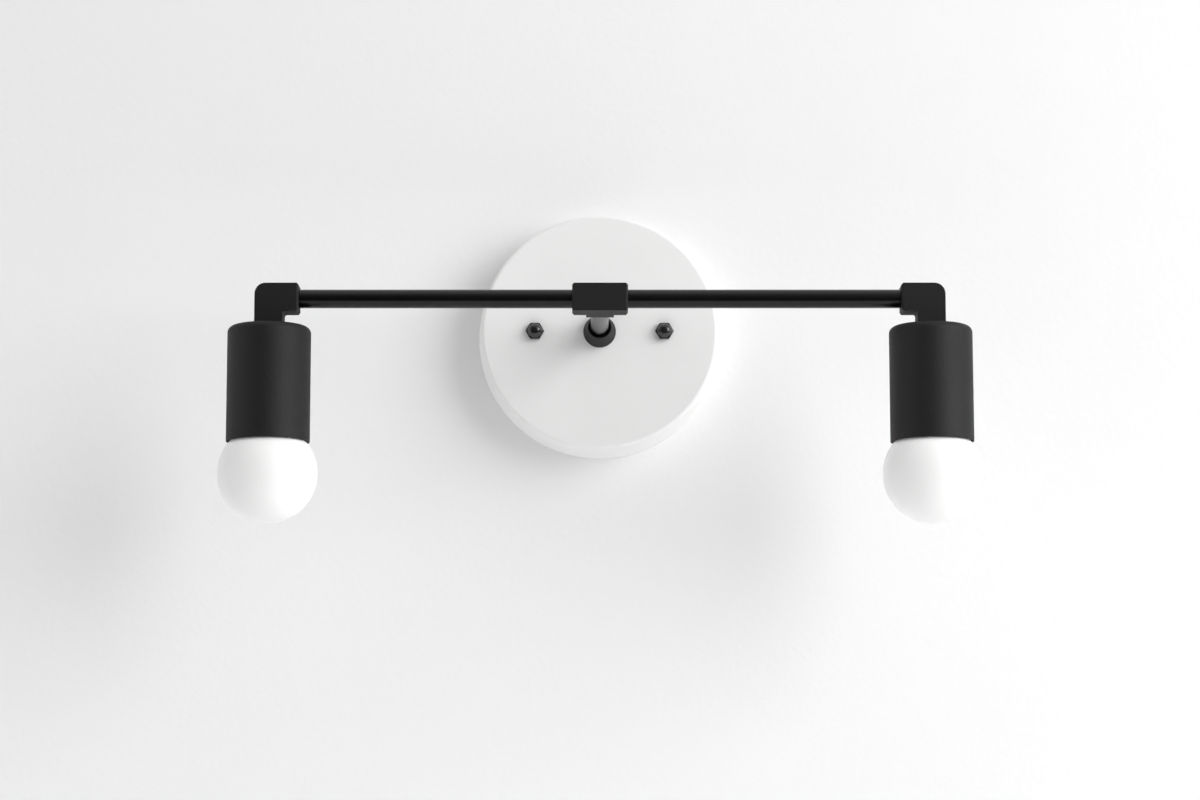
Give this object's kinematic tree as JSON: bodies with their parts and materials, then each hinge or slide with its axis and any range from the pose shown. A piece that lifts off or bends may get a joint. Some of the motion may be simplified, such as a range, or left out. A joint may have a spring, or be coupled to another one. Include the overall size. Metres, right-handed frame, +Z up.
{
  "type": "vanity light",
  "caption": "Wall light: a round canopy carries a forward stem and a straight cross arm, with a hanging cylindrical cup and an opal globe bulb at each end.",
  "frame": {"origin": "centre of the mounting bar's slots on the wall plane, which is also the centre of the canopy's rim", "axes": "+X to the right along the arms, +Y into the wall, +Z up"},
  "size_m": [0.387, 0.1527, 0.1809],
  "materials": {
    "canopy_white": "satin white powder coat",
    "satin_black": "satin black powder coat",
    "cup_black": "matte black powder coat with a fine grain",
    "nut_black": "glossy black coat",
    "zinc_steel": "bright zinc plate",
    "ground_green": "green dyed zinc plate",
    "bare_copper": "bare copper",
    "connector_plastic": "moulded orange plastic",
    "socket_phenolic": "moulded dark phenolic",
    "shell_aluminium": "drawn aluminium",
    "contact_brass": "stamped brass",
    "opal_glass": "glossy opal white",
    "base_nickel": "nickel plated brass",
    "base_glass": "black vitrite glass",
    "solder": "dull solder",
    "clear_glass": "clear glass",
    "tungsten": "drawn tungsten",
    "black_insulation": "black insulation",
    "white_insulation": "white insulation"
  },
  "bodies": {
    "left_bulb": {"left_bulb_glass": "opal_glass", "left_bulb_base_shell": "base_nickel", "left_bulb_insulator": "base_glass", "left_bulb_glass_mount": "clear_glass", "left_bulb_filament": "tungsten"},
    "left_bulb_tip": {"left_bulb_tip_contact": "solder"},
    "right_bulb": {"right_bulb_glass": "opal_glass", "right_bulb_base_shell": "base_nickel", "right_bulb_insulator": "base_glass", "right_bulb_glass_mount": "clear_glass", "right_bulb_filament": "tungsten"},
    "right_bulb_tip": {"right_bulb_tip_contact": "solder"},
    "fixture": {"canopy": "canopy_white", "canopy_studs": "zinc_steel", "cap_nuts": "nut_black", "ground_lead": "bare_copper", "ground_screw": "ground_green", "left_arm_tube": "satin_black", "left_bracket_screws": "zinc_steel", "left_centre_contact": "contact_brass", "left_cup_lock_nut": "zinc_steel", "left_cup_lock_washer": "zinc_steel", "left_cup_nipple": "zinc_steel", "left_elbow_fitting": "satin_black", "left_hot_lead": "black_insulation", "left_lamp_cup": "cup_black", "left_neutral_lead": "white_insulation", "left_screw_shell": "shell_aluminium", "left_shell_terminal": "contact_brass", "left_socket_body": "socket_phenolic", "left_socket_bracket": "zinc_steel", "left_terminal_screws": "contact_brass", "mounting_bar": "zinc_steel", "right_arm_tube": "satin_black", "right_bracket_screws": "zinc_steel", "right_centre_contact": "contact_brass", "right_cup_lock_nut": "zinc_steel", "right_cup_lock_washer": "zinc_steel", "right_cup_nipple": "zinc_steel", "right_elbow_fitting": "satin_black", "right_hot_lead": "black_insulation", "right_lamp_cup": "cup_black", "right_neutral_lead": "white_insulation", "right_screw_shell": "shell_aluminium", "right_shell_terminal": "contact_brass", "right_socket_body": "socket_phenolic", "right_socket_bracket": "zinc_steel", "right_terminal_screws": "contact_brass", "seating_ring": "satin_black", "stem_lock_nut": "zinc_steel", "stem_lock_washer": "zinc_steel", "stem_tube": "satin_black", "stud_lock_nuts": "zinc_steel", "tee_fitting": "satin_black", "wire_connectors": "connector_plastic"}
  },
  "joints": [
    {"name": "left_bulb_travel", "type": "slide", "parent": "fixture", "child": "left_bulb_tip", "axis": [0, 0, -1], "range_m": [0, 0.01816]},
    {"name": "left_bulb_turn", "type": "hinge", "parent": "left_bulb_tip", "child": "left_bulb", "pos_m": [-0.1683, -0.1245, -0.06], "axis": [0, 0, -1], "range_deg": [0, 1800]},
    {"name": "right_bulb_travel", "type": "slide", "parent": "fixture", "child": "right_bulb_tip", "axis": [0, 0, -1], "range_m": [0, 0.01816]},
    {"name": "right_bulb_turn", "type": "hinge", "parent": "right_bulb_tip", "child": "right_bulb", "pos_m": [0.1683, -0.1245, -0.06], "axis": [0, 0, -1], "range_deg": [0, 1800]}
  ],
  "couplings": [
    {"joint": "left_bulb_travel", "follows": "left_bulb_turn", "m_per_rad": 0.0005775},
    {"joint": "right_bulb_travel", "follows": "right_bulb_turn", "m_per_rad": 0.0005775}
  ]
}
